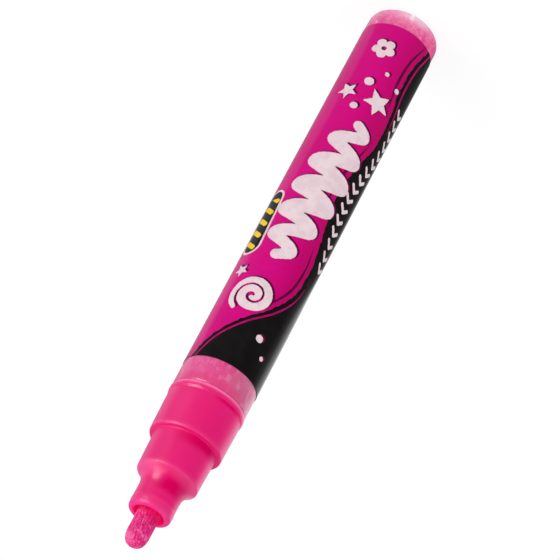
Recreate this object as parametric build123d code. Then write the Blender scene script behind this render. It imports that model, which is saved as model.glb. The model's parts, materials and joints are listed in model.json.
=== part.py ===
from build123d import *
import math
import os

# Pump-action liquid chalk marker without its cap, standing on its tail.
# Z runs up the axis to the nib, the origin is the centre of the tail rim, -Y is the label's front.
# Sizes are in millimetres, shares and counts have no unit.

# Barrel
barrel_length = 98.3
barrel_wall = 1.18
tail_round = 2.0
tail_ring_width = 1.2  # flat ring that the marker stands on
tail_recess_depth = 0.8
tail_recess_round = 0.3
tail_floor = 1.5
reservoir_round = 1.5
notch_width = 0.7  # small notch in the tail rim
notch_depth = 1.1
barrel_edge = 0.45

# Label
label_start = 5.1
label_front_margin = 5.6
label_film = 0.11
label_glue = 0.01
label_seam = 0.4

# Nozzle, outside
plug_length = 7.0
plug_wall = 1.18
plug_lead = 0.4
flange_thickness = 1.05
flange_slope = 0.5
flange_height = 0.1
flange_edge_share = 0.6  # roundings of the flange, as a share of the collar's setback
collar_setback = 0.205
collar_length = 8.6
collar_land = 2.0  # straight stretch where a cap grips
collar_draft = 0.135
collar_step = 1.01
collar_edge = 0.4
step_fillet = 0.2
neck_length = 7.73
neck_draft = 0.2
neck_edge = 0.25
shoulder_length = 1.43
shoulder_cove_share = 0.75  # part of the shoulder's slope that is curved into the spout
spout_length = 6.69
spout_wall = 1.1
rim_length = 2.2
rim_height = 0.02
rim_ramp = 0.35
rim_edge = 0.7
bead_height = 0.06
bead_length = 0.5
bead_round = 0.8

# Nozzle, inside
mouth_gap = 0.88
mouth_depth = 2.6
mouth_edge = 0.12
guide_lead = 0.6
groove_count = 4
groove_width = 1.0
groove_depth = 0.7
valve_stop_width = 0.7

# Nib and its holder
nib_d = 4.5
nib_projection = 7.0
nib_dome = 3.2
nib_fullness_share = 0.72  # handles of the dome's curve, as a share of the dome
nib_tail_round = 0.4
socket_depth = 3.2
holder_wall = 1.1
holder_floor = 2.4
holder_round = 0.3
holder_slot_width = 1.0
holder_slot_start = 0.6
holder_slot_angles = (45, 135)
holder_room = 1.0

# Valve
pump_travel = 2.5
travel_room = 0.4
valve_reach = 5.5  # how far the valve goes up into the collar
chamber_d = 8.2
valve_wall = 1.08
valve_front_wall = 1.8
valve_lead = 0.3
seat_height = 0.4
seat_width = 0.7
rod_d = 2.6
rod_gap = 0.5
rod_setback = 0.2
rod_round = 0.3
head_thickness = 1.2
head_gap = 1.0
seal_thickness = 1.0
tail_pin_overhang = 0.3

# Spring and its retainer
spring_length = 6.0
spring_d = 5.5
spring_wire = 0.5
spring_turns = 4
retainer_thickness = 1.8
ink_hole_count = 4
ink_hole_d = 1.5

# Ink and mixing ball
ball_d = 6.0
ball_room = 0.4
ink_headroom = 15.0

# Fits
press_clearance = 0.02
running_clearance = 0.05
seat_clearance = 0.05
overrun = 1.0

# Radii worked out from the valve's chamber outwards
chamber_r = chamber_d / 2
valve_r = chamber_r + valve_wall
plug_bore_r = valve_r + press_clearance
plug_r = plug_bore_r + plug_wall
bore_r = plug_r + press_clearance
barrel_r = bore_r + barrel_wall
tail_recess_r = barrel_r - tail_round - tail_ring_width
label_inner_r = barrel_r + label_glue
label_r = label_inner_r + label_film
flange_r = barrel_r + flange_height
flange_edge = flange_edge_share * collar_setback
collar_r = flange_r - collar_setback
collar_front_r = collar_r - collar_draft
neck_r = collar_front_r - collar_step
neck_front_r = neck_r - neck_draft
cavity_r = plug_bore_r - valve_stop_width

# Radii worked out from the nib and the valve's rod outwards
nib_r = nib_d / 2
mouth_r = nib_r + mouth_gap
spout_r = mouth_r + spout_wall
rim_r = spout_r + rim_height
bead_r = spout_r + bead_height
guide_r = nib_r + running_clearance
holder_r = guide_r + holder_wall
rod_r = rod_d / 2
rod_hole_r = rod_r + rod_gap
pin_hole_r = rod_r + running_clearance
head_r = chamber_r - head_gap
retainer_r = chamber_r - press_clearance
ink_hole_ring_r = (pin_hole_r + retainer_r) / 2
ball_r = ball_d / 2

# Heights of the barrel, label and nozzle, from the tail up
reservoir_floor = tail_recess_depth + tail_floor
label_end = barrel_length - label_front_margin
plug_rear = barrel_length - plug_length
flange_front = barrel_length + flange_thickness
flange_top = flange_front + flange_slope
collar_top = flange_top + collar_length
neck_top = collar_top + neck_length
shoulder_top = neck_top + shoulder_length
nozzle_tip = shoulder_top + spout_length
rim_start = nozzle_tip - rim_length
bead_start = rim_start + rim_ramp
bead_end = bead_start + bead_length
guide_top = nozzle_tip - mouth_depth - guide_lead
nib_tip = nozzle_tip + nib_projection

# Heights of the valve group, from the valve's front up to the nib and down to the spring's seat
valve_front = flange_top + valve_reach
holder_rear = valve_front + travel_room + pump_travel
nib_rear = holder_rear + holder_floor
holder_front = nib_rear + socket_depth
guide_bottom = holder_front + holder_room
rod_top = nib_rear - rod_setback
seat_wall = valve_front - valve_front_wall
seat = seat_wall - seat_height
head_front = seat - seal_thickness
head_rear = head_front - head_thickness
retainer_front = head_rear - spring_length
retainer_rear = retainer_front - retainer_thickness
stem_tail = retainer_rear - tail_pin_overhang
ball_rest = reservoir_floor + seat_clearance + ball_r
ink_top = plug_rear - ink_headroom


def turned(*corners):
    # Solid of revolution about Z from corners of (radius, height, rounding).
    spots = [Vector(r, z) for r, z, rounding in corners]
    edges = []
    runs = []
    for index, (r, z, rounding) in enumerate(corners):
        corner = spots[index]
        back = (spots[index - 1] - corner).normalized()
        ahead = (spots[(index + 1) % len(spots)] - corner).normalized()
        half_angle = math.radians(back.get_angle(ahead) / 2)
        reach = rounding / math.tan(half_angle)
        start = corner + back * reach
        end = corner + ahead * reach
        if rounding > 0:
            inset = rounding / math.sin(half_angle) - rounding
            edges.append(ThreePointArc(start, corner + (back + ahead).normalized() * inset, end))
        runs.append((start, end))
    for index, (start, end) in enumerate(runs):
        edges.append(Line(runs[index - 1][1], start))
    return revolve(Plane.XZ * make_face(edges), axis=Axis.Z)


def block(width, depth, low, high):
    # Upright cutter centred on the axis, between two heights.
    return Pos(0, 0, low) * Box(width, depth, high - low, align=(Align.CENTER, Align.CENTER, Align.MIN))


def make_barrel():
    tube = turned(
        (0, tail_recess_depth, 0),
        (tail_recess_r, tail_recess_depth, 0),
        (tail_recess_r, 0, tail_recess_round),
        (barrel_r, 0, tail_round),
        (barrel_r, barrel_length, barrel_edge),
        (bore_r, barrel_length, 0),
        (bore_r, reservoir_floor, reservoir_round),
        (0, reservoir_floor, 0),
    )
    rim_middle = (tail_recess_r + barrel_r) / 2
    rim_depth = barrel_r - tail_recess_r + overrun
    notch = Pos(0, -rim_middle, 0) * block(notch_width, rim_depth, -overrun, notch_depth)
    return tube - notch


def make_label():
    film = turned(
        (label_inner_r, label_start, 0),
        (label_r, label_start, 0),
        (label_r, label_end, 0),
        (label_inner_r, label_end, 0),
    )
    seam = Pos(0, label_r, 0) * block(label_seam, overrun, label_start - overrun, label_end + overrun)
    return film - seam


def make_nozzle():
    shoulder = math.hypot(neck_front_r - spout_r, shoulder_length)
    shoulder_angle = math.acos(-shoulder_length / shoulder)
    shoulder_cove = shoulder_cove_share * shoulder * math.tan(shoulder_angle / 2)
    body = turned(
        (plug_r, plug_rear, plug_lead),
        (plug_r, barrel_length, 0),
        (flange_r, barrel_length, flange_edge),
        (flange_r, flange_front, flange_edge),
        (collar_r, flange_top, 0),
        (collar_r, flange_top + collar_land, 0),
        (collar_front_r, collar_top, collar_edge),
        (neck_r, collar_top, step_fillet),
        (neck_front_r, neck_top, neck_edge),
        (spout_r, shoulder_top, shoulder_cove),
        (spout_r, rim_start, 0),
        (bead_r, bead_start, bead_round),
        (bead_r, bead_end, bead_round),
        (rim_r, bead_end + rim_ramp, 0),
        (rim_r, nozzle_tip, rim_edge),
        (mouth_r, nozzle_tip, mouth_edge),
        (mouth_r, guide_top + guide_lead, 0),
        (guide_r, guide_top, 0),
        (guide_r, guide_bottom, 0),
        (cavity_r, guide_bottom, 0),
        (cavity_r, valve_front, 0),
        (plug_bore_r, valve_front, 0),
        (plug_bore_r, plug_rear, 0),
    )
    # Air grooves leave ribs that guide the nib.
    groove = block(2 * (guide_r + groove_depth), groove_width, guide_bottom - overrun, guide_top + guide_lead)
    for turn in range(groove_count // 2):
        body -= Rot(0, 0, turn * 360 / groove_count) * groove
    return body


def make_nib():
    shoulder = nib_tip - nib_dome
    fullness = nib_fullness_share
    dome = Bezier(
        (nib_r, shoulder),
        (nib_r, shoulder + fullness * nib_dome),
        (fullness * nib_r, nib_tip),
        (0, nib_tip),
    )
    sides = Polyline((0, nib_tip), (0, nib_rear), (nib_r, nib_rear), (nib_r, shoulder))
    face = make_face([dome, sides])
    face = fillet(face.vertices().sort_by_distance((nib_r, nib_rear, 0))[0], nib_tail_round)
    return revolve(Plane.XZ * face, axis=Axis.Z)


def make_nib_holder():
    cup = turned(
        (rod_r + press_clearance, holder_rear, 0),
        (holder_r, holder_rear, holder_round),
        (holder_r, holder_front, holder_round),
        (guide_r, holder_front, 0),
        (guide_r, nib_rear, 0),
        (rod_r + press_clearance, nib_rear, 0),
    )
    # Crossed slots leave springy fingers and let the ink reach the nib.
    slot_low = nib_rear + holder_slot_start
    slot = block(2 * (holder_r + overrun), holder_slot_width, slot_low, holder_front + overrun)
    for angle in holder_slot_angles:
        cup -= Rot(0, 0, angle) * slot
    return cup


def make_valve_body():
    return turned(
        (chamber_r, retainer_rear, 0),
        (valve_r, retainer_rear, valve_lead),
        (valve_r, valve_front, 0),
        (rod_hole_r, valve_front, 0),
        (rod_hole_r, seat, 0),
        (rod_hole_r + seat_width, seat, 0),
        (rod_hole_r + seat_width, seat_wall, 0),
        (chamber_r, seat_wall, 0),
    )


def make_valve_stem():
    return turned(
        (0, stem_tail, 0),
        (rod_r, stem_tail, rod_round),
        (rod_r, head_rear, 0),
        (head_r, head_rear, 0),
        (head_r, head_front, 0),
        (rod_r, head_front, 0),
        (rod_r, rod_top, rod_round),
        (0, rod_top, 0),
    )


def make_valve_seal():
    return turned(
        (rod_r + press_clearance, head_front, 0),
        (head_r, head_front, 0),
        (head_r, seat, 0),
        (rod_r + press_clearance, seat, 0),
    )


def make_valve_spring():
    wire_r = spring_wire / 2
    coil_height = spring_length - spring_wire - 2 * seat_clearance
    coil = Helix(pitch=coil_height / spring_turns, height=coil_height, radius=spring_d / 2 - wire_r)
    coil = Pos(0, 0, retainer_front + seat_clearance + wire_r) * coil
    section = Plane(origin=coil @ 0, z_dir=coil % 0) * Circle(wire_r)
    return sweep(section, path=coil, is_frenet=True)


def make_spring_retainer():
    disc = turned(
        (pin_hole_r, retainer_rear, 0),
        (retainer_r, retainer_rear, 0),
        (retainer_r, retainer_front, 0),
        (pin_hole_r, retainer_front, 0),
    )
    drill = Cylinder(ink_hole_d / 2, retainer_thickness + 2 * overrun)
    middle = (retainer_rear + retainer_front) / 2
    holes = [place * drill for place in PolarLocations(ink_hole_ring_r, ink_hole_count)]
    for hole in holes:
        disc -= Pos(0, 0, middle) * hole
    return disc


def make_mixing_ball():
    return Pos(0, 0, ball_rest) * Sphere(ball_r)


def make_ink_charge():
    # The liquid, with a clear channel up the axis where the ball runs.
    channel_r = ball_r + ball_room
    ink_r = bore_r - seat_clearance
    ink_floor = reservoir_floor + seat_clearance
    return turned(
        (channel_r, ink_floor, 0),
        (ink_r, ink_floor, reservoir_round),
        (ink_r, ink_top, 0),
        (channel_r, ink_top, 0),
    )


pieces = {
    "barrel": make_barrel(),
    "label": make_label(),
    "nozzle": make_nozzle(),
    "nib": make_nib(),
    "nib_holder": make_nib_holder(),
    "valve_stem": make_valve_stem(),
    "valve_seal": make_valve_seal(),
    "valve_body": make_valve_body(),
    "valve_spring": make_valve_spring(),
    "spring_retainer": make_spring_retainer(),
    "mixing_ball": make_mixing_ball(),
    "ink_charge": make_ink_charge(),
}

os.makedirs("parts", exist_ok=True)
for name, solid in pieces.items():
    export_step(solid, f"parts/{name}.step")

ball_travel = stem_tail - pump_travel - travel_room - ball_rest - ball_r
spring_gap = (spring_length - spring_wire - 2 * seat_clearance) / spring_turns - spring_wire
print(f"length {nib_tip:.2f}, flange {2 * flange_r:.2f}, label {label_end - label_start:.2f} x {2 * label_r:.2f}")
print(f"ball travel {ball_travel:.2f}, nib travel to clear {nozzle_tip - nib_rear:.2f}, spring gap {spring_gap:.2f}")
print(f"cap land radius {collar_r:.3f} from {flange_top:.2f}, spring seat at {retainer_front:.2f}")
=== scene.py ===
import json
import math

import bpy
import numpy as np
from mathutils import Matrix, Vector, noise


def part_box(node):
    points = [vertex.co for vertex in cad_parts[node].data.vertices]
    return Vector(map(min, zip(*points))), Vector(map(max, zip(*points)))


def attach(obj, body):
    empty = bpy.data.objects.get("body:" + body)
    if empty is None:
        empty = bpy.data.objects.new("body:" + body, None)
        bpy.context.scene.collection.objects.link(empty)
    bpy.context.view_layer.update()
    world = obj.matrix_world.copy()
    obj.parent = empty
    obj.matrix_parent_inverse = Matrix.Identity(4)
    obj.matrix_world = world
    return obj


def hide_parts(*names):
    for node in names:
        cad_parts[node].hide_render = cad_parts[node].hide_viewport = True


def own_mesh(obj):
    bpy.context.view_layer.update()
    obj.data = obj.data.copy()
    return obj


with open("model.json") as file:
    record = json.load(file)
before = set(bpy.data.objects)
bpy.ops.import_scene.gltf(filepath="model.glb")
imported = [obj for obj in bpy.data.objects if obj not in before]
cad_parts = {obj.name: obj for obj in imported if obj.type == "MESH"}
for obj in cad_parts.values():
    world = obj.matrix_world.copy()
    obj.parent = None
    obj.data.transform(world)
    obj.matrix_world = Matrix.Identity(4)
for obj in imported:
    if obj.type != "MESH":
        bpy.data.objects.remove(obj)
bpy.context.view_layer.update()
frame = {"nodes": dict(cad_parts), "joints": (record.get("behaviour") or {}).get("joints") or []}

nodes = frame["nodes"]
mm = 0.001
print("frame loaded with", len(nodes), "nodes")


def extent(name):  # low and high corner of a CAD piece, in mm
    return [[value / mm for value in corner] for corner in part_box(name)]


def ink(red, green, blue):  # a screen colour, 0 to 255, as the linear colour that sockets take
    def linear(value):
        value /= 255
        return value / 12.92 if value <= 0.04045 else ((value + 0.055) / 1.055) ** 2.4
    return linear(red), linear(green), linear(blue), 1.0


class Wire:  # a socket that can be added, multiplied and so on
    def __init__(self, tree, socket):
        self.tree = tree
        self.socket = socket

    def plug(self, target, value):
        if isinstance(value, Wire):
            self.tree.links.new(value.socket, target)
        else:
            target.default_value = value

    def node(self, kind, settings=None, values=None, out=0):
        made = self.tree.nodes.new(kind)
        for key, value in (settings or {}).items():
            setattr(made, key, value)
        for key, value in (values or {}).items():
            self.plug(made.inputs[key], value)
        return Wire(self.tree, made.outputs[out])

    def also(self, out):  # another output of the same node
        return Wire(self.tree, self.socket.node.outputs[out])

    def maths(self, operation, *values):
        return self.node("ShaderNodeMath", {"operation": operation}, dict(enumerate(values)))

    def __add__(self, other):
        return self.maths("ADD", self, other)

    def __radd__(self, other):
        return self.maths("ADD", other, self)

    def __sub__(self, other):
        return self.maths("SUBTRACT", self, other)

    def __rsub__(self, other):
        return self.maths("SUBTRACT", other, self)

    def __mul__(self, other):
        return self.maths("MULTIPLY", self, other)

    def __rmul__(self, other):
        return self.maths("MULTIPLY", other, self)


def stretch(place, along):  # along below 1 draws a pattern out up the marker
    return place.node("ShaderNodeVectorMath", {"operation": "MULTIPLY"}, {0: place, 1: (1.0, 1.0, along)})


def grain(place, scale, detail=2.0, roughness=0.5, along=1.0):  # the looks give these four in this order
    if along != 1.0:
        place = stretch(place, along)
    values = {"Vector": place, "Scale": scale, "Detail": detail, "Roughness": roughness}
    return place.node("ShaderNodeTexNoise", None, values)


def rise(value, low, high):  # 0 below low, 1 above high, soft between
    values = {"Value": value, "From Min": low, "From Max": high}
    return value.node("ShaderNodeMapRange", {"interpolation_type": "SMOOTHSTEP"}, values)


def between(value, comes, full, fades, gone):  # 0 outside, 1 from full to fades
    return rise(value, comes, full) * (1.0 - rise(value, fades, gone))


def levels(value, stops):  # soft steps from stop to stop
    total = stops[0][1]
    for (low, before), (high, after) in zip(stops, stops[1:]):
        if after != before:
            total = total + rise(value, low, high) * (after - before)
    return total


def blend(share, first, second):  # a number that goes from first to second
    return first + share * (second - first)


def apart(value, middle=0.0):
    return value.maths("ABSOLUTE", value - middle)


def heightOf(place):
    return place.node("ShaderNodeSeparateXYZ", None, {0: place}, "Z")


def frontAngle(height):  # degrees round the axis from the front, negative on the left
    side = 0.0 - height.also("X")
    return side.maths("ARCTAN2", side, 0.0 - height.also("Y")) * math.degrees(1)


def tint(share, first, second):
    return share.node("ShaderNodeMix", {"data_type": "RGBA"}, {0: share, 6: first, 7: second}, 2)


def shaderMix(share, first, second):
    return share.node("ShaderNodeMixShader", None, {0: share, 1: first, 2: second})


def bump(height, depth):
    return height.node("ShaderNodeBump", None, {"Height": height, "Distance": depth})


def newFinish(name, fixed):  # returns the material, its shader and the place on the piece in mm
    finish = bpy.data.materials.new(name)
    finish.use_nodes = True
    tree = finish.node_tree
    shader = tree.nodes["Principled BSDF"]
    for socket, value in fixed.items():
        shader.inputs[socket].default_value = value
    coords = Wire(tree, tree.nodes.new("ShaderNodeTexCoord").outputs["Object"])
    place = coords.node("ShaderNodeVectorMath", {"operation": "SCALE"}, {0: coords, "Scale": 1 / mm})
    return finish, shader, place


def dress(node, finish):
    nodes[node].material_slots[0].material = finish


def newPiece(name, points, faces):
    mesh = bpy.data.meshes.new(name)
    mesh.from_pydata(points, [], faces)
    mesh.shade_smooth()
    piece = bpy.data.objects.new(name, mesh)
    bpy.context.scene.collection.objects.link(piece)
    return piece


# Nozzle: glossy moulded plastic in one pink, with a painted red glow round the thin mouth that stands in for
# light coming through
nozzleLook = {
    "base": ink(230, 4, 113),
    "pale": ink(235, 12, 122),
    "cloud": (0.16, 3.0),
    "cloudRise": (0.3, 0.75),
    "flow": (1.4, 3.0, 0.5, 0.2),
    "paleShares": (0.5, 0.2),  # by cloud and by flow
    "thinAndHighlit": ink(246, 94, 157),  # pale pink of the thin wall at the flange and the rim, also used for painted highlights at the steps' edges, the shoulder's sides and the left side
    "flangeHeight": (98.4, 99.3),
    "flangeHighlight": ink(255, 150, 198),  # painted highlight: a bright line on the flange's rear edge
    "flangeHighlightHeight": (98.35, 98.55, 98.6, 98.9),
    "flangeHighlightShare": 0.45,
    "rimHeight": (121.9, 122.6),
    "rimShare": 0.16,
    "edges": [(108.0, 0.5), (116.1, 0.7)],  # painted highlight: height of a step's edge, and how far it pales
    "edgeHighlightShare": (0.37, 0.15),  # on the left and on the right
    "edgeHighlightAcross": (-2.5, 1.0),
    "leftLightShare": 0.07,  # painted light: the left side pales a little
    "leftLightAcross": (-6.0, -1.5),
    "paintedShadeFinish": {  # painted shade: a darker, duller copy of the plastic where one step's wall stands in the next
        "Base Color": ink(228, 0, 99),
        "Roughness": 0.5,
        "Specular IOR Level": 0.02,
        "Subsurface Weight": 0.4,
        "Subsurface Radius": (1.0, 0.1, 0.25),
        "Subsurface Scale": 0.001,
    },
    "shadedRoots": [  # painted shade: where it comes and goes by height, and its share by angle from the front
        {"height": (99.5, 99.75, 99.95, 100.7),
         "around": [(-135, 0.5), (-95, 0.0), (0, 0.0), (20, 1.0), (36, 1.0), (58, 0.35), (135, 0.5)]},
        {"height": (108.4, 108.7, 109.5, 111.4),
         "around": [(-135, 0.6), (-95, 0.0), (-45, 0.0), (18, 1.0), (42, 1.0), (64, 0.35), (135, 0.6)]},
        {"height": (116.4, 118.3, 119.6, 121.0),
         "around": [(-135, 0.6), (-95, 0.0), (-30, 0.0), (5, 1.0), (26, 1.0), (56, 0.35), (135, 0.6)]},
    ],
    "shoulder": {  # painted sheen: paler on its left and its right
        "height": (116.0, 116.5, 117.8, 119.0),
        "left": (-4.8, -2.2),
        "right": (3.2, 5.4),
        "share": 0.45,
    },
    "mouth": ink(240, 4, 104),
    "glow": ink(136, 0, 64),  # painted glow: emission that stands in for light coming through the wall round the mouth
    # painted glow at the rim: emission that stands in for light through the wall
    "rimPaintedGlow": ink(62, 12, 60),
    "rimPaintedGlowHeight": (123.0, 124.2),
    "mouthRadius": (3.05, 3.4),
    "mouthHeight": (112.0, 123.0),
    "fixed": {
        "Specular IOR Level": 0.5,
        "Emission Strength": 1.0,
        "Sheen Weight": 0.2,
        "Sheen Roughness": 0.42,
        "Sheen Tint": (0.7, 0.1, 1.0, 1.0),
        "Subsurface Weight": 0.4,
        "Subsurface Radius": (1.0, 0.1, 0.25),
        "Subsurface Scale": 0.001,
    },
    "roughness": 0.28,
    "roughShares": (0.03, 0.04),  # by cloud and by flow
    "skin": (0.8,),
    "bump": 0.000004,
}


def nozzlePlastic(look):
    finish, shader, place = newFinish("nozzlePlastic", look["fixed"])
    cloud = rise(grain(place, *look["cloud"]), *look["cloudRise"])
    flow = grain(place, *look["flow"])
    byCloud, byFlow = look["paleShares"]
    colour = tint(cloud * byCloud + flow * byFlow, look["base"], look["pale"])
    height = heightOf(place)
    flatPlace = stretch(place, 0.0)
    radius = place.node("ShaderNodeVectorMath", {"operation": "LENGTH"}, {0: flatPlace}, "Value")
    inside = (1.0 - rise(radius, *look["mouthRadius"])) * rise(height, *look["mouthHeight"])
    side = 0.0 - height.also("X")
    angle = frontAngle(height)
    # painted shade at the steps' roots, mostly on the right
    deep = 0.0
    for root in look["shadedRoots"]:
        deep = deep + between(height, *root["height"]) * levels(angle, root["around"])
    # pale thin plastic at the flange and the rim, then painted light added below
    rim = look["rimShare"] * rise(height, *look["rimHeight"])
    thinAndHighlit = 1.0 - rise(height, *look["flangeHeight"]) * (1.0 - rim)
    # painted sheen on the shoulder's left and right sides
    shoulder = look["shoulder"]
    beside = 1.0 - rise(side, *shoulder["left"]) + rise(side, *shoulder["right"])
    thinAndHighlit = thinAndHighlit + between(height, *shoulder["height"]) * beside * shoulder["share"]
    # painted light on the left side
    thinAndHighlit = thinAndHighlit + (1.0 - rise(side, *look["leftLightAcross"])) * look["leftLightShare"]
    # painted highlights along the steps' edges, stronger on the left
    edgeHighlightShare = blend(rise(side, *look["edgeHighlightAcross"]), *look["edgeHighlightShare"])
    for edge, reach in look["edges"]:
        thinAndHighlit = thinAndHighlit + (1.0 - rise(apart(height, edge), 0.0, reach)) * edgeHighlightShare
    colour = tint(thinAndHighlit, colour, look["thinAndHighlit"])
    # painted highlight line on the flange's rear edge
    line = between(height, *look["flangeHighlightHeight"]) * look["flangeHighlightShare"]
    colour = tint(line, colour, look["flangeHighlight"])
    place.plug(shader.inputs["Base Color"], tint(inside, colour, look["mouth"]))
    # painted glow: emission round the mouth and at the rim
    rimLit = tint(rise(height, *look["rimPaintedGlowHeight"]), ink(0, 0, 0), look["rimPaintedGlow"])
    place.plug(shader.inputs["Emission Color"], tint(inside, rimLit, look["glow"]))
    byCloud, byFlow = look["roughShares"]
    place.plug(shader.inputs["Roughness"], look["roughness"] + flow * byFlow + cloud * byCloud)
    place.plug(shader.inputs["Normal"], bump(grain(place, *look["skin"]), look["bump"]))
    # the painted shade mixes in a darker copy of the plastic with almost no gloss
    paintedShadeFinish = place.node("ShaderNodeBsdfPrincipled", None, look["paintedShadeFinish"])
    surface = shaderMix(deep, Wire(place.tree, shader.outputs["BSDF"]), paintedShadeFinish)
    place.plug(place.tree.nodes["Material Output"].inputs["Surface"], surface)
    return finish


dress("nozzle", nozzlePlastic(nozzleLook))
print("nozzle dressed")

# Barrel: milky see-through plastic, pink where the ink lies behind the wall
barrelLook = {
    "milk": ink(249, 182, 212),
    "tailStain": ink(236, 84, 150),
    "tailDeep": ink(241, 72, 150),
    "stained": ink(222, 68, 136),
    "deep": ink(229, 56, 134),
    "deepRise": (0.35, 0.7),
    "frontHeight": (60.0, 90.0),  # the tail's colours give way to the front ring's, out of sight
    "smear": (0.55, 4.0, 0.6, 0.35),
    "fine": (3.0, 3.0),
    "floorOfInk": (0.3, 5.6),  # heights in mm between which the ink starts to show
    "inkDrift": 1.6,  # a drift is how far the smear moves an edge, in mm
    "inkLean": (0.27, 0.09),  # it shows lower down by distance from the middle, and more so on the right
    "rightGrey": ink(208, 100, 141),
    "rightGreyAcross": (-1.0, 5.0),  # greyer pink on the right side of the front ring, by distance from the middle
    "rightGreyDrift": 6.0,
    # painted light: the front ring pales on its left side
    "ringLeftLight": ink(245, 119, 179),
    "ringLeftLightAcross": (-1.0, -6.0),
    "ringLeftLightShare": 0.3,
    "chalky": ink(242, 178, 205),
    "chalkyRise": (0.51, 0.31),
    "dull": ink(204, 80, 132),
    "dullRise": (0.49, 0.7),
    "streak": (0.7, 4.0, 0.65, 0.45),
    "streakRise": (0.36, 0.8),
    "streakShares": (0.34, 0.14),  # at the tail and at the front ring, as in the next three
    "mottleShares": (0.34, 0.2),
    "tailMottle": (1.3, 3.0, 0.6),
    "ringMottle": (0.9, 2.0, 0.5, 0.6),
    "paintedRimHighlight": ink(252, 216, 230),  # painted highlight: a pale patch at the tail rim
    "rimHighlightHeight": (0.9, 3.2),
    "rimHighlightAcross": (0.8, 1.2, 4.6),  # middle, and the distances over which it fades
    "rimHighlightShares": (0.45, 0.45),  # all over, and more in blotches
    "blotch": (1.0, 3.0, 0.65),
    "blotchRise": (0.38, 0.62),
    # painted glints, and a painted highlight below the notch
    "glint": ink(255, 232, 242),
    "glints": (1.2, 2.0),
    "glintRise": (0.67, 0.74),
    "glintShare": 0.5,
    "notchHalf": (0.25, 0.6),
    "notchHeight": (1.8, 2.9),
    "notchFront": (0.0, -2.0),
    "notchShare": 0.75,
    "lip": ink(226, 62, 126),  # deeper pink round the mouth, fading out towards the right side
    "lipHeight": (95.6, 97.2),
    "lipAcross": (6.5, 3.0),
    "lipDrift": 1.5,
    "lipShare": 0.6,
    "fixed": {
        "Specular IOR Level": 0.5,
        "Subsurface Weight": 0.35,
        "Subsurface Radius": (1.0, 0.35, 0.55),
        "Subsurface Scale": 0.002,
    },
    "roughness": 0.2,
    "roughShare": 0.04,
    "smearBump": 3.0,
    "bump": 0.000004,
}


def barrelPlastic(look):
    finish, shader, place = newFinish("barrelPlastic", look["fixed"])
    height = heightOf(place)
    side = 0.0 - height.also("X")
    front = rise(height, *look["frontHeight"])
    smear = grain(place, *look["smear"])
    drift = smear - 0.5
    fine = grain(place, *look["fine"])
    outward, rightward = look["inkLean"]
    lean = apart(side) * outward + side * rightward
    inked = rise(height + drift * look["inkDrift"] + lean, *look["floorOfInk"])
    deep = rise(smear, *look["deepRise"])
    tail = tint(deep, look["tailStain"], look["tailDeep"])
    greyed = rise(side + drift * look["rightGreyDrift"], *look["rightGreyAcross"])
    ring = tint(greyed, tint(deep, look["stained"], look["deep"]), look["rightGrey"])
    # painted light on the front ring's left side
    leftLit = rise(side, *look["ringLeftLightAcross"]) * look["ringLeftLightShare"]
    ring = tint(leftLit, ring, look["ringLeftLight"])
    colour = tint(inked, look["milk"], tint(front, tail, ring))
    streak = rise(grain(place, *look["streak"]), *look["streakRise"])
    colour = tint(streak * blend(front, *look["streakShares"]), colour, look["chalky"])
    mottle = blend(front, grain(place, *look["tailMottle"]), grain(place, *look["ringMottle"]))
    share = blend(front, *look["mottleShares"])
    colour = tint(rise(mottle, *look["dullRise"]) * share, colour, look["dull"])
    colour = tint(rise(mottle, *look["chalkyRise"]) * share, colour, look["chalky"])
    # tail rim: a painted highlight patch, painted glints and a painted highlight at the end of the notch
    middle, near, far = look["rimHighlightAcross"]
    paintedRimHighlight = (1.0 - rise(apart(side, middle), near, far)) * (1.0 - rise(height, *look["rimHighlightHeight"]))
    blotch = rise(grain(place, *look["blotch"]), *look["blotchRise"])
    allOver, blotched = look["rimHighlightShares"]
    colour = tint(paintedRimHighlight * (allOver + blotch * blotched), colour, look["paintedRimHighlight"])
    # painted highlight below the notch, and painted glints
    notch = (1.0 - rise(apart(side), *look["notchHalf"])) * (1.0 - rise(height, *look["notchHeight"]))
    notch = notch * rise(height.also("Y"), *look["notchFront"]) * look["notchShare"]
    glint = rise(grain(place, *look["glints"]), *look["glintRise"]) * (1.0 - front) * look["glintShare"]
    colour = tint(glint.maths("MAXIMUM", glint, notch), colour, look["glint"])
    lip = rise(height + drift * look["lipDrift"], *look["lipHeight"]) * rise(side, *look["lipAcross"])
    place.plug(shader.inputs["Base Color"], tint(lip * look["lipShare"], colour, look["lip"]))
    place.plug(shader.inputs["Roughness"], look["roughness"] + fine * look["roughShare"])
    place.plug(shader.inputs["Normal"], bump(fine + smear * look["smearBump"], look["bump"]))
    return finish


dress("barrel", barrelPlastic(barrelLook))
print("barrel dressed")

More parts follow.
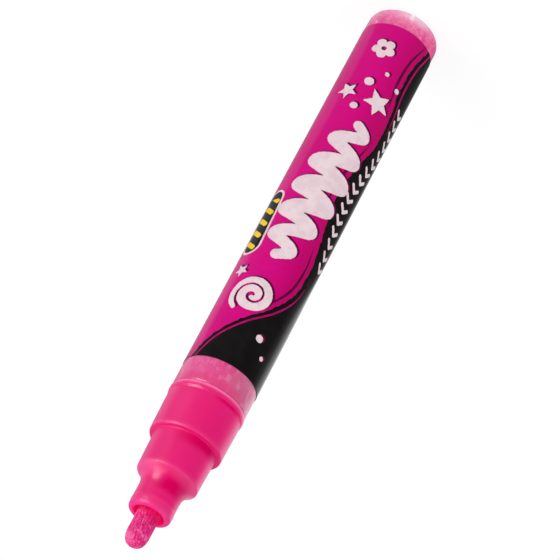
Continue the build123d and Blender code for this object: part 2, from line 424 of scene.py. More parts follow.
# Nib: a rod of bonded fibres with a blunt dome
nibLow, nibHigh = extent("nib")
nibShape = {
    "radius": nibHigh[0],
    "rear": nibLow[2],
    "tip": nibHigh[2],
    "dome": 3.2,
    "domeRows": 1.5,  # its curve is about this much longer than it is high
    "fullness": 0.72,
    "rearRound": 0.4,
    "columns": 320,
    "rowStep": 0.085,
    "hidden": 120.5,  # below this the rod sits in the marker, with coarser rows
    "hiddenStep": 0.17,
    "fadeIn": 0.6,
    "fibreDepth": 0.06,
    "fibresRound": 22.0,
    "draw": 0.35,  # fibres run along the rod
    "dips": {"all": 0.25, "strand": 0.55, "tuft": 0.3, "grit": 0.35},  # shares of the depth
    "strand": (1.3, 1.6),  # scale and gain
    "tuft": (0.45, 1.3),  # scale across and along
    "grit": (1.1, 4.5),
    "tipDip": 0.4,
    "least": 0.01,  # no ring is narrower
}
nibLook = {
    "dark": ink(196, 6, 92),
    "middle": ink(238, 52, 138),
    "light": ink(255, 146, 200),
    "strand": (5.0, 3.0, 0.6, 0.14),
    "fleck": (4.2, 2.0, 0.6, 0.4),
    "patch": (0.7, 2.0),
    "weave": (0.6, 0.4),  # shares of strand and fleck
    "middleRise": (0.39, 0.55),
    "lightMix": (0.5, 0.2, 0.3),  # shares of fleck, strand and patch
    "lightRise": (0.49, 0.62),
    "lightShare": 0.6,
    "soakedAndShaded": ink(242, 6, 118),  # ink stands in the fibres next to the mouth, and painted shadow of the mouth's rim deepens one side
    "soakedDark": ink(214, 0, 86),
    "soakedHeight": (122.6, 126.0),
    "soakedRise": (0.36, 0.58),
    "soakedShare": 0.9,
    "soakedDrift": 2.0,
    "shadedSide": (-1.1, 0.1),  # painted shadow: one side deepens further up, by this much
    "shadedFurther": 2.5,
    "litSide": (-1.3, -0.3),  # painted highlight: the other side is paler near the tip
    "litHeight": (128.8, 130.2),
    "litShare": 0.3,
    "fixed": {
        "Specular IOR Level": 0.12,
        "Sheen Weight": 0.12,
        "Sheen Roughness": 0.5,
        "Sheen Tint": (1.0, 0.3, 0.7, 1.0),
    },
    "roughness": 0.62,
    "roughShare": 0.3,
    "bump": 0.00003,
}


def nibProfile(shape):  # radius and height pairs from the rear up
    radius, rear, tip = shape["radius"], shape["rear"], shape["tip"]
    shoulder = tip - shape["dome"]
    rows = [(0.0, rear), (radius - shape["rearRound"], rear)]
    hidden = shape["hidden"]
    lengths = [(rear + shape["rearRound"], hidden, shape["hiddenStep"]), (hidden, shoulder, shape["rowStep"])]
    for low, high, step in lengths:
        count = int((high - low) / step)
        rows += [(radius, low + (high - low) * i / count) for i in range(count)]
    handle = shape["fullness"]
    count = int(shape["domeRows"] * shape["dome"] / shape["rowStep"])
    for i in range(count + 1):
        t = i / count
        a, b, c, d = (1 - t) ** 3, 3 * t * (1 - t) ** 2, 3 * t * t * (1 - t), t ** 3
        across = radius * (a + b + handle * c)
        rows.append((across, a * shoulder + b * (shoulder + handle * shape["dome"]) + (c + d) * tip))
    return rows


def fibreDip(shape, turn, radius, height):  # how far the surface sinks between fibres, 0 to 1
    wide = shape["fibresRound"] * radius / shape["radius"] / 2
    spot = Vector((math.cos(turn) * wide, math.sin(turn) * wide, height * shape["draw"]))
    scale, gain = shape["strand"]
    strand = abs(noise.noise(spot * scale)) * gain
    across, along = shape["tuft"]
    tuft = noise.noise(Vector((spot.x * across, spot.y * across, height * along)))
    across, along = shape["grit"]
    grit = noise.noise(Vector((spot.x * across, spot.y * across, height * along)))
    dips = shape["dips"]
    dip = dips["all"] + dips["strand"] * strand + dips["tuft"] * tuft + dips["grit"] * grit
    return min(1.0, max(0.0, dip))


def makeNib(shape):
    rows = nibProfile(shape)
    columns = shape["columns"]
    points, faces = [(0, 0, shape["rear"] * mm)], []
    for radius, height in rows[1:-1]:
        for k in range(columns):
            turn = 2 * math.pi * k / columns
            shown = min(1.0, max(0.0, (height - shape["rear"] - shape["rearRound"]) / shape["fadeIn"]))
            sink = shown * shape["fibreDepth"] * fibreDip(shape, turn, radius, height)
            slope = max(0.0, (height - shape["tip"] + shape["dome"]) / shape["dome"]) ** 2
            across = max(shape["least"], radius - sink * (1 - slope))
            point = (across * math.cos(turn), across * math.sin(turn), height - sink * slope)
            points.append([value * mm for value in point])
    points.append((0, 0, (shape["tip"] - shape["tipDip"] * shape["fibreDepth"]) * mm))
    last = len(points) - 1
    rings = len(rows) - 2
    for k in range(columns):
        nextK = (k + 1) % columns
        faces.append((0, 1 + nextK, 1 + k))
        for i in range(rings - 1):
            low, high = 1 + i * columns, 1 + (i + 1) * columns
            faces.append((low + k, low + nextK, high + nextK, high + k))
        top = 1 + (rings - 1) * columns
        faces.append((top + k, top + nextK, last))
    return newPiece("nib_fibres", points, faces)


def nibFibre(look):
    finish, shader, place = newFinish("nibFibre", look["fixed"])
    strand = grain(place, *look["strand"])
    fleck = grain(place, *look["fleck"])
    patch = grain(place, *look["patch"])
    height = heightOf(place)
    side = 0.0 - height.also("X")
    byStrand, byFleck = look["weave"]
    weave = strand * byStrand + fleck * byFleck
    body = tint(rise(weave, *look["middleRise"]), look["dark"], look["middle"])
    byFleck, byStrand, byPatch = look["lightMix"]
    light = rise(fleck * byFleck + strand * byStrand + patch * byPatch, *look["lightRise"])
    # painted highlight on one side near the tip
    pale = (1.0 - rise(side, *look["litSide"])) * rise(height, *look["litHeight"])
    body = tint(light * look["lightShare"] + pale * look["litShare"], body, look["light"])
    # ink soaked at the base, plus painted shadow reaching further up one side
    level = height - rise(side, *look["shadedSide"]) * look["shadedFurther"]
    soakedAndShaded = 1.0 - rise(level + (fleck - 0.5) * look["soakedDrift"], *look["soakedHeight"])
    wet = tint(rise(weave, *look["soakedRise"]), look["soakedDark"], look["soakedAndShaded"])
    place.plug(shader.inputs["Base Color"], tint(soakedAndShaded * look["soakedShare"], body, wet))
    place.plug(shader.inputs["Roughness"], look["roughness"] + strand * look["roughShare"])
    place.plug(shader.inputs["Normal"], bump(strand + fleck, look["bump"]))
    return finish


nib = makeNib(nibShape)
nib.data.materials.append(nibFibre(nibLook))
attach(nib, "nib")
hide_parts("nib")
print("nib built,", len(nib.data.polygons), "faces")

# Label: a printed film wrapped round the barrel, its print laid out flat as (across, height) in mm
labelLow, labelHigh = extent("label")
filmGap = 0.01  # between the barrel and the film
printLift = 0.018  # the topmost print stands this far off the film
labelShape = {
    "inner": extent("barrel")[1][0] + filmGap,
    "outer": labelHigh[0] - printLift,
    "rear": labelLow[2],
    "front": labelHigh[2],
    "seam": 0.4,
    "edge": 0.03,
    "columns": 180,
    "roundShare": 0.9,  # faces that look this far in or out are shaded round, and the thin edges flat
}
labelLook = {
    "ground": ink(211, 0, 124),
    "deep": ink(198, 0, 111),
    "violet": ink(205, 6, 134),
    "cloud": (0.14, 3.0),
    "cloudRise": (0.35, 0.7),
    "dots": (6.0, 2.0, 0.6),
    "dotsRise": (0.45, 0.7),
    "deepShares": (0.5, 0.2),  # by cloud and by dots
    "mottle": (1.1, 3.0, 0.7),
    "mottleRise": (0.4, 0.66),
    "mottleShare": 0.5,
    "right": ink(176, 0, 90),  # painted shade: the ground deepens towards the right, until the black side covers it
    "rightShadeAround": [(-22, 0.0), (53, 0.8), (80, 0.8), (115, 0.0)],
    "speck": ink(96, 4, 58),
    "crumbs": (2.6, 4.0, 0.7),
    "crumbCloud": (0.35,),
    "crumbCloudShare": 0.35,
    "crumbRise": (0.93, 0.97),
    "crumbShare": 0.8,
    "rearEdgeHighlight": ink(238, 132, 180),  # painted highlight along the film's edge at the tail end
    "rearEdgeHighlightWidth": 0.12,
    "edge": ink(66, 8, 40),  # painted shadow along the cut edge at the nib end
    "edgeShadowWidth": (0.07, 0.035),  # where it comes and where it is full
    "fixed": {"Specular IOR Level": 0.14},
    "roughness": 0.09,
    "roughShare": 0.05,
    "skin": (0.9, 2.0),
    "bump": 0.000004,
}


def onBarrel(across, height, radius):  # a flat place on the label, wrapped round the barrel
    turn = across / labelShape["outer"]
    return -radius * math.sin(turn) * mm, -radius * math.cos(turn) * mm, height * mm


def wrapped(name, flat, faces, radii):
    # flat holds (across, height) for each point, radii its distance from the axis
    points = [onBarrel(across, height, radius) for (across, height), radius in zip(flat, radii)]
    piece = newPiece(name, points, faces)
    mesh = piece.data
    normals = []
    for face in mesh.polygons:
        middle = Vector((face.center.x, face.center.y, 0)).normalized()
        facing = face.normal.dot(middle)
        for i in face.vertices:
            point = mesh.vertices[i].co
            outward = Vector((point.x, point.y, 0)).normalized()
            if abs(facing) > labelShape["roundShare"]:
                normals.append(outward if facing > 0 else -outward)
            else:
                normals.append(face.normal.copy())
    mesh.normals_split_custom_set(normals)
    spots = np.array(flat)
    low, span = spots.min(0), np.ptp(spots, 0)
    layer = mesh.uv_layers.new(name="OFBake")
    for loop in mesh.loops:
        layer.data[loop.index].uv = (spots[loop.vertex_index] - low) / span
    return piece


def makeLabel(shape):
    half = math.pi * shape["outer"] - shape["seam"] / 2
    edge = shape["edge"]
    section = [
        (shape["inner"], shape["rear"]),
        (shape["outer"] - edge, shape["rear"]),
        (shape["outer"], shape["rear"] + edge),
        (shape["outer"], shape["front"] - edge),
        (shape["outer"] - edge, shape["front"]),
        (shape["inner"], shape["front"]),
    ]
    flat, radii, faces = [], [], []
    count = len(section)
    for k in range(shape["columns"] + 1):
        across = -half + 2 * half * k / shape["columns"]
        for radius, height in section:
            flat.append((across, height))
            radii.append(radius)
    for k in range(shape["columns"]):
        for i in range(count):
            nextI = (i + 1) % count
            a, b = k * count, (k + 1) * count
            faces.append((a + i, a + nextI, b + nextI, b + i))
    faces.append(tuple(reversed(range(count))))
    faces.append(tuple(shape["columns"] * count + i for i in range(count)))
    return wrapped("label_film", flat, faces, radii)


def labelFilm(look):
    finish, shader, place = newFinish("labelFilm", look["fixed"])
    cloud = grain(place, *look["cloud"])
    dots = grain(place, *look["dots"])
    byCloud, byDots = look["deepShares"]
    share = rise(cloud, *look["cloudRise"]) * byCloud + rise(dots, *look["dotsRise"]) * byDots
    ground = tint(share, look["ground"], look["deep"])
    mottle = rise(grain(place, *look["mottle"]), *look["mottleRise"])
    ground = tint(mottle * look["mottleShare"], ground, look["violet"])
    crumbs = grain(place, *look["crumbs"]) + grain(place, *look["crumbCloud"]) * look["crumbCloudShare"]
    ground = tint(rise(crumbs, *look["crumbRise"]) * look["crumbShare"], ground, look["speck"])
    height = heightOf(place)
    # painted shade towards the right
    ground = tint(levels(frontAngle(height), look["rightShadeAround"]), ground, look["right"])
    rear, front = labelShape["rear"], labelShape["front"]
    # painted highlight along the tail end's edge
    ground = tint(rise(height, rear + look["rearEdgeHighlightWidth"], rear), ground, look["rearEdgeHighlight"])
    # painted shadow along the nib-end edge
    comes, full = look["edgeShadowWidth"]
    ground = tint(rise(height, front - comes, front - full), ground, look["edge"])
    place.plug(shader.inputs["Base Color"], ground)
    place.plug(shader.inputs["Roughness"], look["roughness"] + dots * look["roughShare"])
    place.plug(shader.inputs["Normal"], bump(grain(place, *look["skin"]), look["bump"]))
    return finish


label = makeLabel(labelShape)
label.data.materials.append(labelFilm(labelLook))
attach(label, "barrel")
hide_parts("label")
print("label film wrapped")

# Print on the label. Fields are distances in mm, below 0 inside the ink.
printShape = {
    "wave": [  # edge of the black side, as (height, across)
        (98, -10.4), (92.7, -8.6), (88, -6.2), (83, -2.2), (78, 2.2), (72, 5.4), (66, 6.2), (60, 5.4),
        (53, 3.9), (46, 3.4), (39, 4.6), (32, 6.2), (25, 6.0), (18, 5.0), (11, 5.4), (5.1, 7.2), (0, 8.4),
    ],
    "waveParts": 12,
    "waveEnd": 17.0,  # its far edge, at the back, sways by this much over this height
    "waveSway": (1.4, 7),
    "shadeLine": {"off": 1.3, "half": 0.32, "beat": 0.11},  # a stripe beside the wave, of uneven width
    "stripe": {"off": 1.2, "half": 0.26, "beat": 0.09, "start": 0.4},  # one on the black side
    "squiggle": {
        "low": 31.5, "high": 66.5, "ends": (0.7, -1.9), "waves": 5.5, "reach": 4.0, "half": 1.5,
        "reachSwell": (0.45, 0.55, 0.8), "halfSwell": (0.75, 0.35), "steps": 240,
    },
    "curl": {
        "middle": (-2.2, 77.0), "turns": 1.9, "outer": 4.3, "start": 0.12, "half": 0.8,
        "halfSwell": (0.6, 0.5), "steps": 120,
    },
    "stars": [(1.9, 24.4, 2.9), (-5.0, 24.0, 1.9), (-7.2, 71.6, 1.3)],  # across, height and size
    "starInner": 0.46,
    "starRound": 0.12,
    "dots": [
        (-2.2, 27.4, 0.8), (-1.7, 20.6, 1.0), (4.4, 19.0, 0.6), (0.9, 17.2, 0.5), (3.0, 84.6, 0.8),
        (5.4, 87.6, 0.5),
    ],
    "flower": {"middle": (-2.2, 11.6), "petals": 5, "reach": 1.5, "petal": 1.0, "eye": 0.55},
    "chevrons": {
        "low": 22.0, "high": 64.0, "step": 2.7, "inset": 3.1, "reach": 1.15, "rise": 0.6, "half": 0.36,
    },
    "badge": {"low": (-8.9, 53.0), "high": (-8.3, 65.0), "half": 2.0, "border": (0.2, 0.24)},
    "bars": {"count": 5, "from": (-0.9, -0.7), "to": (1.3, 0.7), "half": 0.52},
    "chalkGrain": (2.4, 0.09),  # scale and depth of an uneven edge
    "brushGrain": (0.9, 0.3),
    "edgeNoise": {"share": 0.6, "finer": 2.5, "slices": (3.0, 7.0)},
    "shadowShift": (0.34, -0.32),
    "shadowGrow": 0.06,
    "lifts": {"black": printLift / 3, "shade": 2 * printLift / 3, "top": printLift},
    "depth": 0.03,
}
farOff = 1e3  # a field's value where nothing is printed


def flowLine(points, parts):  # a smooth line through the points
    def flow(p, q, r, s, t):
        bend, twist = 2 * p - 5 * q + 4 * r - s, 3 * q - p - 3 * r + s
        return 0.5 * (2 * q + (r - p) * t + bend * t * t + twist * t ** 3)

    ends = [points[0]] + list(points) + [points[-1]]
    line = []
    for four in zip(ends, ends[1:], ends[2:], ends[3:]):
        for i in range(parts):
            line.append([flow(*places, i / parts) for places in zip(*four)])
    return np.array(line + [list(points[-1])])


def strokeField(across, height, line, half):  # half is one width, or one for each point of the line
    half = np.broadcast_to(half, len(line))
    field = np.full(across.shape, farOff)
    for (x0, y0), (x1, y1), h0, h1 in zip(line, line[1:], half, half[1:]):
        dx, dy = x1 - x0, y1 - y0
        t = np.clip(((across - x0) * dx + (height - y0) * dy) / (dx * dx + dy * dy), 0, 1)
        away = np.hypot(across - x0 - t * dx, height - y0 - t * dy)
        field = np.minimum(field, away - h0 - t * (h1 - h0))
    return field


def starField(shape, across, height, middle, size):
    x, y = across - middle[0], height - middle[1]
    turn = np.arctan2(x, y) % (2 * math.pi / 5) - math.pi / 5
    reach = np.hypot(x, y)
    along, aside = reach * np.cos(turn), np.abs(reach * np.sin(turn))
    # edge from the inner corner, which faces along, to the tip
    tip = (size * math.cos(math.pi / 5), size * math.sin(math.pi / 5))
    inner = (shape["starInner"] * size, 0.0)
    dx, dy = tip[0] - inner[0], tip[1] - inner[1]
    field = ((along - inner[0]) * dy - (aside - inner[1]) * dx) / math.hypot(dx, dy)
    return field - shape["starRound"]


def flowerField(flower, across, height):
    x, y = flower["middle"]
    field = np.hypot(across - x, height - y) - flower["reach"]
    for k in range(flower["petals"]):
        turn = 2 * math.pi * k / flower["petals"]
        dx, dy = flower["reach"] * math.sin(turn), flower["reach"] * math.cos(turn)
        field = np.minimum(field, np.hypot(across - x - dx, height - y - dy) - flower["petal"])
    return np.maximum(field, flower["eye"] - np.hypot(across - x, height - y))


def crumble(shape, across, height, scale, depth):  # uneven edge of chalk or brush
    coarse, fine = shape["edgeNoise"]["slices"]
    finer = shape["edgeNoise"]["finer"]
    rough = []
    for x, y in zip((across * scale).ravel(), (height * scale).ravel()):
        detail = noise.noise(Vector((x * finer, y * finer, fine)))
        rough.append(noise.noise(Vector((x, y, coarse))) + shape["edgeNoise"]["share"] * detail)
    return depth * np.array(rough).reshape(across.shape)


def waveEdge(shape, height):
    line = flowLine(shape["wave"][::-1], shape["waveParts"])
    return np.interp(height, line[:, 0], line[:, 1])


def badgeField(shape, across, height):
    badge = shape["badge"]
    return strokeField(across, height, np.array([badge["low"], badge["high"]]), badge["half"])


def blackField(across, height):
    shape = printShape
    sway, over = shape["waveSway"]
    farEdge = across - shape["waveEnd"] - sway * np.sin(height / over)
    side = np.maximum(waveEdge(shape, height) - across, farEdge)
    side = side + crumble(shape, across, height, *shape["brushGrain"])
    return np.minimum(side, badgeField(shape, across, height))


def squiggleLine(part):
    steps = np.linspace(0, 1, part["steps"])
    hump = np.sin(math.pi * steps)
    least, more, power = part["reachSwell"]
    swell = least + more * hump ** power
    middle = part["ends"][0] + (part["ends"][1] - part["ends"][0]) * steps
    across = middle + part["reach"] * swell * np.sin(2 * math.pi * part["waves"] * steps)
    height = part["low"] + (part["high"] - part["low"]) * steps
    least, more = part["halfSwell"]
    return np.stack([across, height], 1), part["half"] * (least + more * hump)


def curlLine(part):
    steps = np.linspace(0, 1, part["steps"])
    turn = 2 * math.pi * part["turns"] * steps
    reach = part["outer"] * (part["start"] + (1 - part["start"]) * steps)
    x = part["middle"][0] + reach * np.sin(turn)
    y = part["middle"][1] + reach * np.cos(turn)
    least, more = part["halfSwell"]
    return np.stack([x, y], 1), part["half"] * (least + more * np.sin(math.pi * steps))


def marksField(across, height):
    shape = printShape
    field = strokeField(across, height, *squiggleLine(shape["squiggle"]))
    field = np.minimum(field, strokeField(across, height, *curlLine(shape["curl"])))
    for x, y, size in shape["stars"]:
        field = np.minimum(field, starField(shape, across, height, (x, y), size))
    for x, y, size in shape["dots"]:
        field = np.minimum(field, np.hypot(across - x, height - y) - size)
    return np.minimum(field, flowerField(shape["flower"], across, height))


def chalkField(across, height):
    shape = printShape
    field = marksField(across, height)
    row = shape["chevrons"]
    for y in np.arange(row["low"], row["high"], row["step"]):
        x = float(waveEdge(shape, y)) + row["inset"]
        rear, tip = y - row["rise"], y + row["rise"]
        arms = np.array([(x - row["reach"], rear), (x, tip), (x + row["reach"], rear)])
        field = np.minimum(field, strokeField(across, height, arms, row["half"]))
    field = field + crumble(shape, across, height, *shape["chalkGrain"])
    off, half = shape["badge"]["border"]
    return np.minimum(field, np.abs(badgeField(shape, across, height) - off) - half)


def shadeField(across, height):  # dark edge behind the chalk marks, and a stripe beside the wave
    shape = printShape
    dx, dy = shape["shadowShift"]
    part = shape["shadeLine"]
    width = part["half"] * np.sin(height * part["beat"]) ** 2
    beside = np.abs(across - waveEdge(shape, height) + part["off"]) - width
    return np.minimum(marksField(across - dx, height - dy) - shape["shadowGrow"], beside)


def stripeField(across, height):
    part = printShape["stripe"]
    width = part["half"] * np.sin(height * part["beat"] + part["start"])
    return np.abs(across - waveEdge(printShape, height) - part["off"]) - width


def barsField(across, height):
    badge, bars = printShape["badge"], printShape["bars"]
    field = np.full(across.shape, farOff)
    (x, low), (_, high) = badge["low"], badge["high"]
    for y in np.linspace(low, high, bars["count"]):
        bar = np.array([(x + dx, y + dy) for dx, dy in (bars["from"], bars["to"])])
        field = np.minimum(field, strokeField(across, height, bar, bars["half"]))
    return field


def printed(name, fieldOf, window, pitch, lift):  # a thin film of ink where the field is below 0
    left, right, low, high = window
    across = np.linspace(left, right, int(round((right - left) / pitch)) + 1)
    height = np.linspace(low, high, int(round((high - low) / pitch)) + 1)
    field = fieldOf(*np.meshgrid(across, height, indexing="ij"))
    inside = field < 0
    flat, index, faces = [], {}, []

    def corner(p):
        if p not in index:
            index[p] = len(flat)
            flat.append((across[p[0]], height[p[1]]))
        return index[p]

    def cut(p, q):  # where the ink's edge crosses from p to q
        key = (min(p, q), max(p, q))
        if key not in index:
            p, q = key
            share = field[p] / (field[p] - field[q])
            index[key] = len(flat)
            flat.append((
                across[p[0]] + share * (across[q[0]] - across[p[0]]),
                height[p[1]] + share * (height[q[1]] - height[p[1]]),
            ))
        return index[key]

    touched = inside[:-1, :-1] | inside[1:, :-1] | inside[:-1, 1:] | inside[1:, 1:]
    for i, j in np.argwhere(touched).tolist():
        ring = [(i, j), (i, j + 1), (i + 1, j + 1), (i + 1, j)]
        if all(inside[p] for p in ring):
            faces.append([corner(p) for p in ring])
            continue
        for three in (ring[:3], ring[2:] + ring[:1]):
            face = []
            for p, q in zip(three, three[1:] + three[:1]):
                if inside[p]:
                    face.append(corner(p))
                if inside[p] != inside[q]:
                    face.append(cut(p, q))
            if face:
                faces.append(face)
    count = len(flat)
    sides = dict.fromkeys((p, q) for face in faces for p, q in zip(face, face[1:] + face[:1]))
    walls = [(q, p, p + count, q + count) for p, q in sides if (q, p) not in sides]
    backs = [[p + count for p in reversed(face)] for face in faces]
    outer = labelShape["outer"] + lift
    radii = [outer] * count + [outer - printShape["depth"]] * count
    piece = wrapped(name, flat * 2, faces + backs + walls, radii)
    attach(piece, "barrel")
    return piece


inkLooks = {
    "blackInk": {"base": ink(17, 15, 16), "other": ink(24, 20, 22), "roughness": 0.1, "pin": 0.0},
    "chalkInk": {"base": ink(233, 213, 218), "other": ink(222, 196, 205), "roughness": 0.3, "pin": 0.5},
    "shadeInk": {"base": ink(104, 6, 64), "other": ink(84, 6, 52), "roughness": 0.1, "pin": 0.0},
    "stripeInk": {"base": ink(186, 4, 106), "other": ink(150, 4, 86), "roughness": 0.1, "pin": 0.0},
    "yellowInk": {"base": ink(246, 205, 24), "other": ink(236, 190, 10), "roughness": 0.22, "pin": 0.0},
}
inkGrain = {
    "cloud": (0.5, 3.0),
    "dots": (5.0, 3.0, 0.6),
    "otherMix": (0.6, 0.4),  # shares of cloud and dots
    "otherRise": (0.4, 0.65),
    "pinRise": (0.66, 0.72),
    "roughShare": 0.06,
    "skin": (0.9, 2.0),
    "bump": 0.000004,
    "fixed": {"Specular IOR Level": 0.1},
}


def printInk(name, look, pattern):
    finish, shader, place = newFinish(name, pattern["fixed"])
    dots = grain(place, *pattern["dots"])
    byCloud, byDots = pattern["otherMix"]
    other = grain(place, *pattern["cloud"]) * byCloud + dots * byDots
    colour = tint(rise(other, *pattern["otherRise"]), look["base"], look["other"])
    if look["pin"]:  # chalk leaves pinholes that show the ground
        colour = tint(rise(dots, *pattern["pinRise"]) * look["pin"], colour, labelLook["ground"])
    place.plug(shader.inputs["Base Color"], colour)
    place.plug(shader.inputs["Roughness"], look["roughness"] + dots * pattern["roughShare"])
    place.plug(shader.inputs["Normal"], bump(grain(place, *pattern["skin"]), pattern["bump"]))
    return finish


inks = {name: printInk(name, look, inkGrain) for name, look in inkLooks.items()}
lifts = printShape["lifts"]
rear, front = labelShape["rear"] + labelShape["edge"], labelShape["front"] - labelShape["edge"]
layers = [
    ("label_black_side", blackField, (-11.6, 19.2, rear, front), 0.3, "black", "blackInk"),
    ("label_shade_lines", shadeField, (-11.6, 12.0, rear, front), 0.2, "shade", "shadeInk"),
    ("label_stripes", stripeField, (-9.6, 12.0, rear, front), 0.2, "shade", "stripeInk"),
    ("label_chalk_marks", chalkField, (-11.8, 12.4, 9.0, 90.0), 0.2, "top", "chalkInk"),
    ("label_yellow_bars", barsField, (-11.6, -5.6, 53.0, 71.0), 0.2, "top", "yellowInk"),
]
for name, fieldOf, window, pitch, lift, inkName in layers:
    piece = printed(name, fieldOf, window, pitch, lifts[lift])
    piece.data.materials.append(inks[inkName])
    print(name, "printed,", len(piece.data.polygons), "faces")

# Valve spring: round wire, built at its rest length
springLow, springHigh = extent("valve_spring")
springShape = {
    "outer": springHigh[0],
    "rear": springLow[2],
    "front": springHigh[2],
    "wire": 0.25,
    "turns": 4,
    "steps": 48,
    "sides": 12,
}


def makeSpring(shape):
    wire = shape["wire"]
    reach = shape["outer"] - wire
    climb = (shape["front"] - shape["rear"] - 2 * wire) / shape["turns"]
    sides, count = shape["sides"], shape["turns"] * shape["steps"]
    points, faces = [], []
    for i in range(count + 1):
        turn = 2 * math.pi * i / shape["steps"]
        outward = Vector((math.cos(turn), math.sin(turn), 0))
        along = Vector((-reach * math.sin(turn), reach * math.cos(turn), climb / (2 * math.pi)))
        across = along.normalized().cross(outward)
        middle = outward * reach + Vector((0, 0, shape["rear"] + wire + climb * i / shape["steps"]))
        for k in range(sides):
            angle = 2 * math.pi * k / sides
            points.append((middle + wire * (math.cos(angle) * outward + math.sin(angle) * across)) * mm)
    for i in range(count):
        for k in range(sides):
            nextK = (k + 1) % sides
            low, high = i * sides, (i + 1) * sides
            faces.append((low + k, low + nextK, high + nextK, high + k))
    faces.append(tuple(reversed(range(sides))))
    faces.append(tuple(range(count * sides, (count + 1) * sides)))
    return newPiece("valve_spring_wire", points, faces)


spring = makeSpring(springShape)
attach(spring, "barrel")
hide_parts("valve_spring")
pressed = next(joint["range_m"][0] for joint in frame["joints"] if joint["name"] == "nib_press")
restLength = (springShape["front"] - springShape["rear"]) * mm
springShape["rear"] * mm
1 + pressed / restLength
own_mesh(spring)
print("valve spring wound")

# Inner works, seen only when the nib is out or the part is opened
innerLooks = {
    "valvePlastic": {
        "base": ink(238, 236, 230), "other": ink(226, 223, 214), "roughness": 0.4, "metal": 0.0,
        "nodes": ["nib_holder", "valve_stem", "valve_body", "spring_retainer"],
    },
    "sealRubber": {
        "base": ink(38, 38, 40), "other": ink(52, 51, 52), "roughness": 0.6, "metal": 0.0,
        "nodes": ["valve_seal"],
    },
    "springSteel": {
        "base": ink(196, 196, 194), "other": ink(168, 168, 170), "roughness": 0.25, "metal": 1.0, "nodes": [],
    },
    "ballSteel": {
        "base": ink(204, 204, 206), "other": ink(180, 182, 186), "roughness": 0.16, "metal": 1.0,
        "nodes": ["mixing_ball"],
    },
    "inkLiquid": {
        "base": ink(232, 32, 118), "other": ink(240, 70, 146), "roughness": 0.12, "metal": 0.0,
        "nodes": ["ink_charge"],
    },
}
innerGrain = {
    "cloud": (0.5, 3.0),
    "fine": (4.0, 3.0),
    "otherMix": (0.6, 0.4),  # shares of cloud and fine
    "otherRise": (0.38, 0.66),
    "roughShare": 0.1,
    "bump": 0.000005,
}


def innerFinish(name, look, pattern):
    finish, shader, place = newFinish(name, {"Metallic": look["metal"]})
    fine = grain(place, *pattern["fine"])
    byCloud, byFine = pattern["otherMix"]
    other = grain(place, *pattern["cloud"]) * byCloud + fine * byFine
    colour = tint(rise(other, *pattern["otherRise"]), look["base"], look["other"])
    place.plug(shader.inputs["Base Color"], colour)
    place.plug(shader.inputs["Roughness"], look["roughness"] + fine * pattern["roughShare"])
    place.plug(shader.inputs["Normal"], bump(fine, pattern["bump"]))
    return finish


innerFinishes = {name: innerFinish(name, look, innerGrain) for name, look in innerLooks.items()}
for name, look in innerLooks.items():
    for node in look["nodes"]:
        dress(node, innerFinishes[name])
spring.data.materials.append(innerFinishes["springSteel"])
print("inner works dressed")

# Stage: a wide pale floor and soft light. The marker stands on its tail and the camera is rolled.
stageLook = {
    "floorHalf": 4.0,
    "floorColour": (0.35, 0.35, 0.35, 1.0),
    "seenColour": (0.2, 0.2, 0.2, 1.0),
    "seenGlow": 0.81,
    "ambient": 0.88,
    "glossTop": 0.28,
    "glossLevels": [  # brightness of the floor in gloss, by its angle from the front
        (-180, 0.36), (-140, 0.42), (-120, 0.6), (-97, 0.9), (-91, 0.4), (-60, 0.45), (-20, 0.38), (0, 0.32),
        (40, 0.17), (84, 0.2), (104, 0.5), (112, 0.75), (122, 1.4), (150, 1.25), (180, 0.8),
    ],
    "glossTurns": [  # on each side these angles shift: full shift at angle, and (metres away, degrees)
        (-40.0, [(0.0, -18.7), (0.15, 16.5)]),
        (80.0, [(0.1, -45.0), (0.135, 0.0)]),
    ],
    "target": (0.0, 0.0, 0.115),
    # a gloss lamp shows in reflections alone and a matt one doesn't, and the floor lets the tail lamp through
    "lamps": {
        "key": {"way": (0.81, -0.59, 0.05), "away": 0.3, "size": (0.17, 0.18), "watts": 0.3},
        "shine": {"way": (0.73, -0.54, 0.42), "away": 0.3, "size": (0.2, 0.33), "watts": 0.75, "gloss": True},
        "top": {"way": (0.7, -0.1, 0.7), "away": 0.8, "size": (0.5, 0.5), "watts": 0.8},
        "right": {"way": (-0.62, -0.34, 0.7), "away": 0.8, "size": (0.8, 0.8), "watts": 0.76},
        "tail": {"way": (-0.33, -0.335, -0.883), "away": 1.5, "size": (0.45, 0.45), "watts": 11.0,
                 "matt": True},
    },
}


def pathWire(tree):
    return Wire(tree, tree.nodes.new("ShaderNodeLightPath").outputs["Is Camera Ray"])


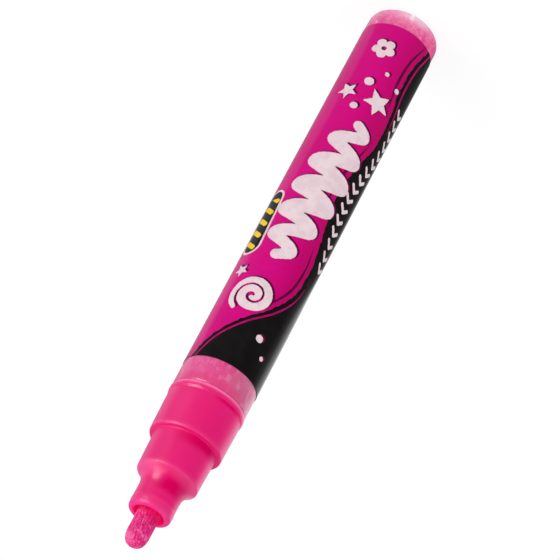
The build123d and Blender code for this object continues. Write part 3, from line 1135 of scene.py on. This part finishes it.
def makeFloor(look):
    half = look["floorHalf"]
    corners = [(-half, -half, 0), (half, -half, 0), (half, half, 0), (-half, half, 0)]
    floor = newPiece("floor", corners, [(0, 1, 2, 3)])
    finish = bpy.data.materials.new("paleFloor")
    finish.use_nodes = True
    tree = finish.node_tree
    tree.nodes.clear()
    seen = pathWire(tree)
    gloss = seen.also("Is Glossy Ray")
    clear = seen.also("Is Transmission Ray")
    lit = seen.node("ShaderNodeBsdfDiffuse", None, {"Color": look["floorColour"]})
    paper = seen.node("ShaderNodeBsdfDiffuse", None, {"Color": look["seenColour"]})
    glow = seen.node("ShaderNodeEmission", None, {"Strength": look["seenGlow"]})
    shown = seen.node("ShaderNodeAddShader", None, {0: paper, 1: glow})
    spot = seen.node("ShaderNodeNewGeometry", None, None, "Position")
    angle = frontAngle(heightOf(spot))
    reach = seen.node("ShaderNodeVectorMath", {"operation": "LENGTH"}, {0: spot}, "Value")
    turned = angle
    for side, shifts in look["glossTurns"]:
        turned = turned + rise(angle, 0.0, side) * levels(reach, shifts)
    mirrored = seen.node("ShaderNodeEmission", None, {"Strength": levels(turned, look["glossLevels"])})
    surface = shaderMix(gloss, lit, mirrored)
    surface = shaderMix(seen.maths("MAXIMUM", seen, clear), surface, shown)
    output = tree.nodes.new("ShaderNodeOutputMaterial")
    tree.links.new(surface.socket, output.inputs["Surface"])
    floor.data.materials.append(finish)
    return floor


def makeWorld(look):
    world = bpy.data.worlds.new("studio")
    bpy.context.scene.world = world
    world.use_nodes = True
    tree = world.node_tree
    tree.nodes.clear()
    seen = pathWire(tree)
    shown = seen.maths("MAXIMUM", seen, seen.also("Is Transmission Ray"))
    level = look["ambient"] + seen.also("Is Glossy Ray") * (look["glossTop"] - look["ambient"])
    level = level + shown * (1.0 - level)
    back = seen.node("ShaderNodeBackground", None, {"Color": (1, 1, 1, 1), "Strength": level})
    output = tree.nodes.new("ShaderNodeOutputWorld")
    tree.links.new(back.socket, output.inputs["Surface"])


def makeLamps(look, floor):
    target = Vector(look["target"])
    passed = bpy.data.collections.new("passed_by_tail_lamp")
    passed.objects.link(floor)
    passed.collection_objects[0].light_linking.link_state = "EXCLUDE"
    for name, part in look["lamps"].items():
        lamp = bpy.data.lights.new(name, "AREA")
        lamp.shape = "RECTANGLE"
        lamp.size, lamp.size_y = part["size"]
        lamp.energy = part["watts"]
        holder = bpy.data.objects.new(name, lamp)
        way = Vector(part["way"]).normalized()
        holder.location = target + way * part["away"]
        holder.rotation_euler = (-way).to_track_quat("-Z", "Y").to_euler()
        holder.visible_camera = False
        holder.visible_diffuse = not part.get("gloss")
        holder.visible_glossy = not part.get("matt")
        if holder.location.z < 0:
            holder.light_linking.blocker_collection = passed
        bpy.context.scene.collection.objects.link(holder)


# Camera: looks down at the front, rolled so that the nib points down and left
cameraLook = {
    "rise": 31.2756,  # degrees above the floor
    "roll": (0.88375, 0.46796),  # cosine and sine
    "aim": (-1.154, 0.80, 66.27),
    "away": 543.41,
    "lens": 180.63,
    "sensor": 36.0,
    "clip": (0.01, 50.0),  # metres
}


def makeCamera(look):
    angle = math.radians(look["rise"])
    across = Vector((-1, 0, 0))
    tailward = Vector((0, -math.sin(angle), -math.cos(angle)))
    back = Vector((0, -math.cos(angle), math.sin(angle)))
    cosine, sine = look["roll"]
    right = across * cosine + tailward * sine
    up = tailward * cosine - across * sine
    data = bpy.data.cameras.new("camera")
    data.lens = look["lens"]
    data.sensor_width = look["sensor"]
    data.clip_start, data.clip_end = look["clip"]
    camera = bpy.data.objects.new("camera", data)
    turn = Matrix((right, up, back)).transposed()
    spot = Vector(look["aim"]) * mm + back * look["away"] * mm
    camera.matrix_world = Matrix.Translation(spot) @ turn.to_4x4()
    bpy.context.scene.collection.objects.link(camera)
    bpy.context.scene.camera = camera


makeWorld(stageLook)
makeLamps(stageLook, makeFloor(stageLook))
makeCamera(cameraLook)
bpy.context.scene.view_settings.view_transform = "Standard"
print("stage, lamps and camera set")
